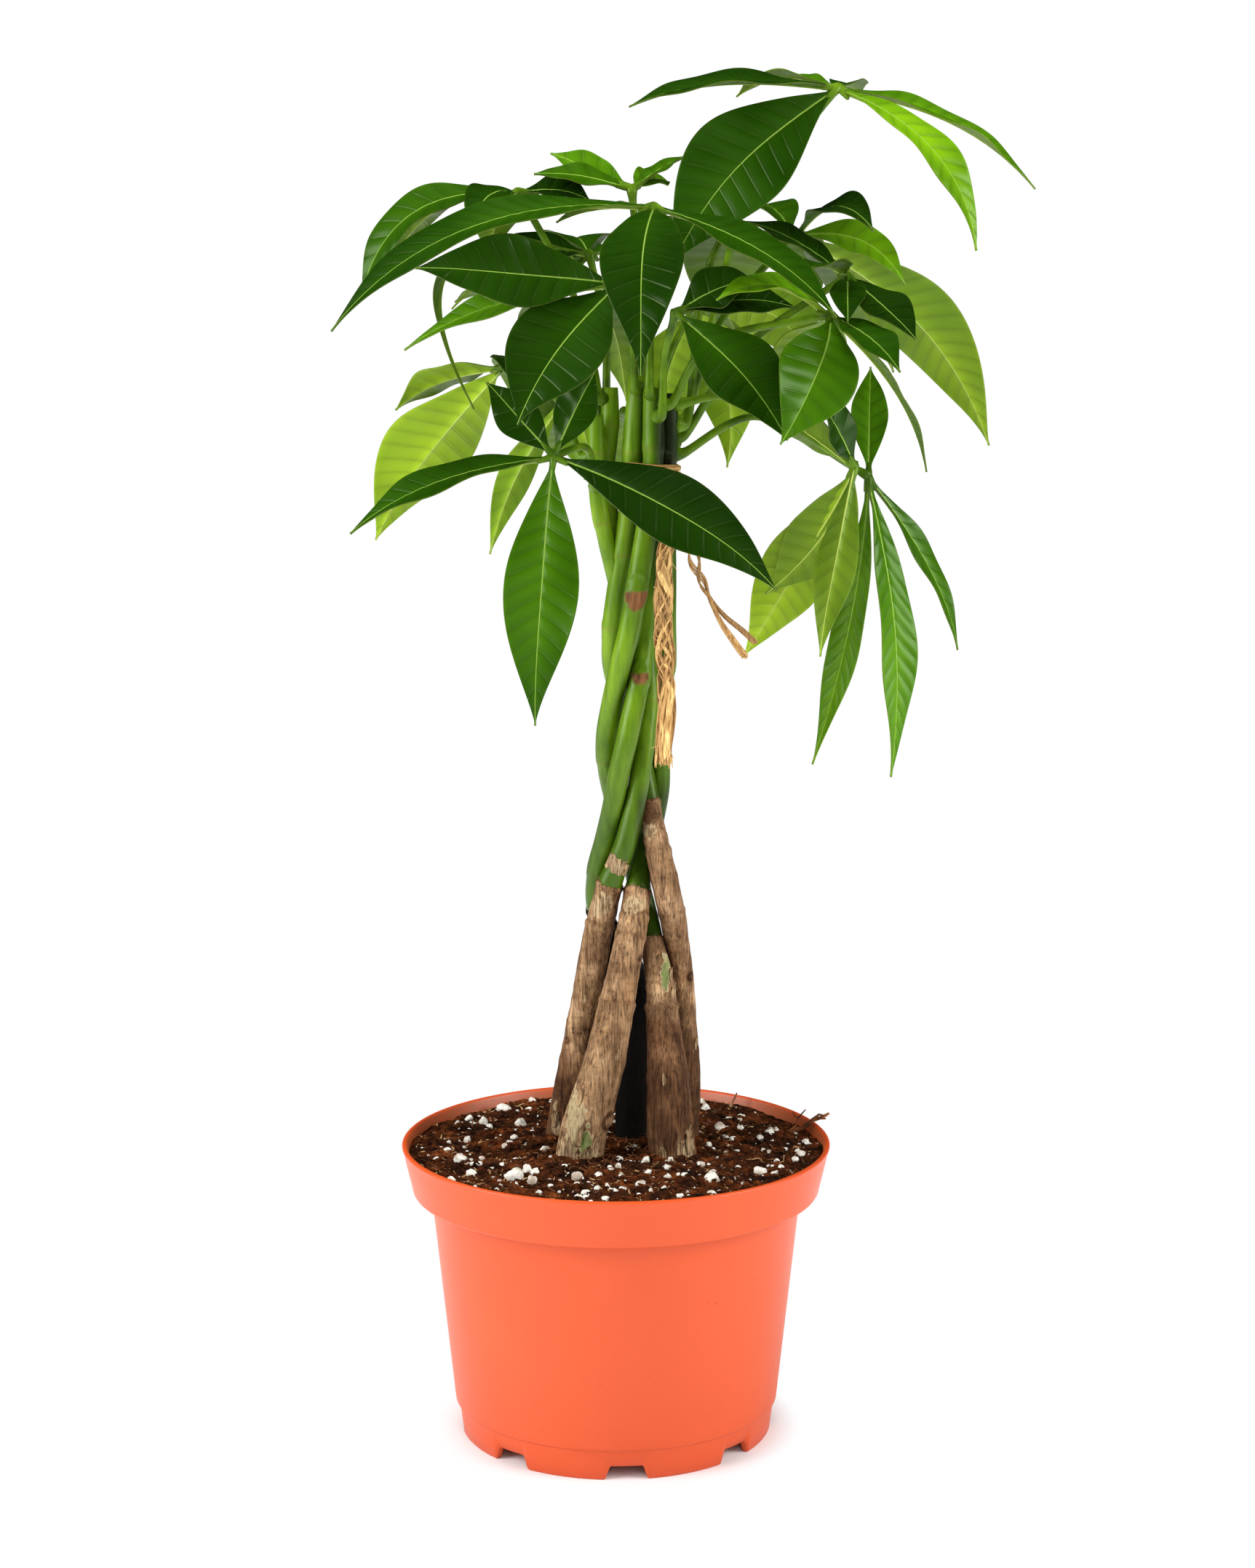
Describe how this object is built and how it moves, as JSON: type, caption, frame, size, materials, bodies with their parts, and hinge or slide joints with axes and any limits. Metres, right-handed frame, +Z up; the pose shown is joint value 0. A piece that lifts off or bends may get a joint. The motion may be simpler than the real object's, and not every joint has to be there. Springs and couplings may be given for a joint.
{
  "type": "potted money tree",
  "caption": "Houseplant with a plait of living stems tied with a raffia cord, hand-shaped glossy leaves and a plain nursery pot of soil with perlite.",
  "frame": {"origin": "on the table plane, under the middle of the plant's spread", "axes": "+Z up along the plait, the side the picture shows faces -Y, +X to that view's right"},
  "size_m": [0.2608, 0.215, 0.518],
  "materials": {
    "pot": "satin",
    "soil": "matte",
    "perlite": "matte",
    "bark": "matte",
    "green_stem": "satin",
    "leaf": "gloss",
    "raffia": "matte"
  },
  "bodies": {
    "root": {"pot": "pot", "soil": "soil", "trunk_a": "bark", "stem_a": "green_stem", "trunk_b": "bark", "stem_b": "green_stem", "trunk_c": "bark", "stem_c": "green_stem", "trunk_d": "bark", "stem_d": "green_stem", "trunk_e": "bark", "stem_e": "green_stem", "leaf_top_right": "leaf", "leaf_right_high": "leaf", "leaf_right_middle": "leaf", "leaf_right_front": "leaf", "leaf_crown": "leaf", "leaf_young": "leaf", "leaf_left_high": "leaf", "leaf_left_front": "leaf", "leaf_centre": "leaf", "leaf_back_right_low": "leaf", "leaf_left_middle": "leaf", "leaf_low_front": "leaf", "leaf_low_right": "leaf", "leaf_low_right_front": "leaf", "leaf_left_inner": "leaf", "leaf_back_left": "leaf", "leaf_back_right": "leaf", "leaf_back_low": "leaf", "leaf_left_back_low": "leaf", "tie_band": "raffia", "tie_tail_long": "raffia", "tie_tail_short": "raffia"}
  },
  "joints": []
}
